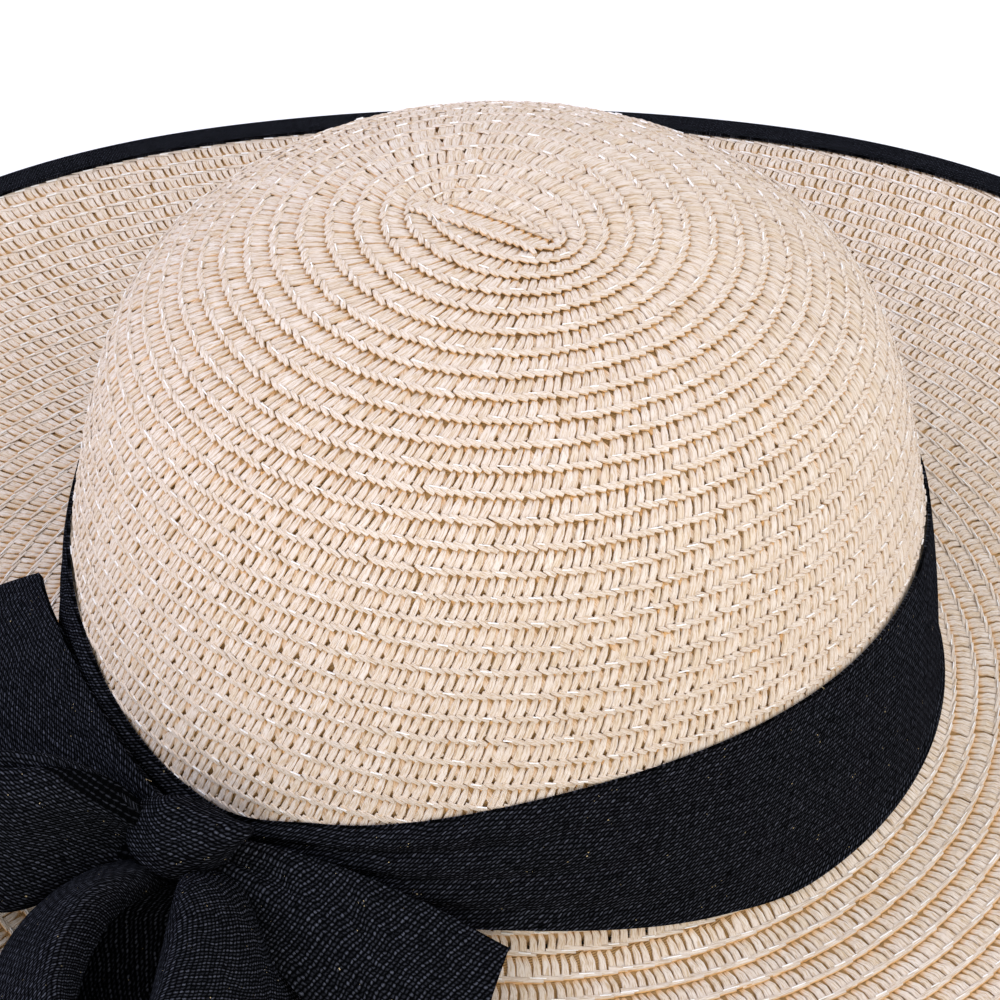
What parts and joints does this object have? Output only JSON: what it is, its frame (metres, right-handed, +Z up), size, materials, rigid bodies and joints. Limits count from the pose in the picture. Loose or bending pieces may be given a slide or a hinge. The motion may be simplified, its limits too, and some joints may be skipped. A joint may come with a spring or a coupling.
{
  "type": "sun hat",
  "caption": "Wide-brimmed sun hat of pale spiral-sewn paper braid with a round crown, a black bound edge and a black cloth band tied in a bow.",
  "frame": {"origin": "middle of the hat on the surface that the brim rests on", "axes": "+Z up along the crown's axis, -Y towards the viewer of the picture, so that the bow sits at the front left"},
  "size_m": [0.459, 0.459, 0.1255],
  "materials": {
    "braid": "matte woven paper braid",
    "binding": "matte cloth tape",
    "linen": "matte open plain weave"
  },
  "bodies": {
    "root": {"crown": "braid", "brim": "braid", "brim_binding": "binding", "hat_band": "linen", "bow_knot": "linen", "bow_loop_left": "linen", "bow_loop_lower": "linen", "bow_tail_upper": "linen", "bow_tail_right": "linen"}
  },
  "joints": []
}
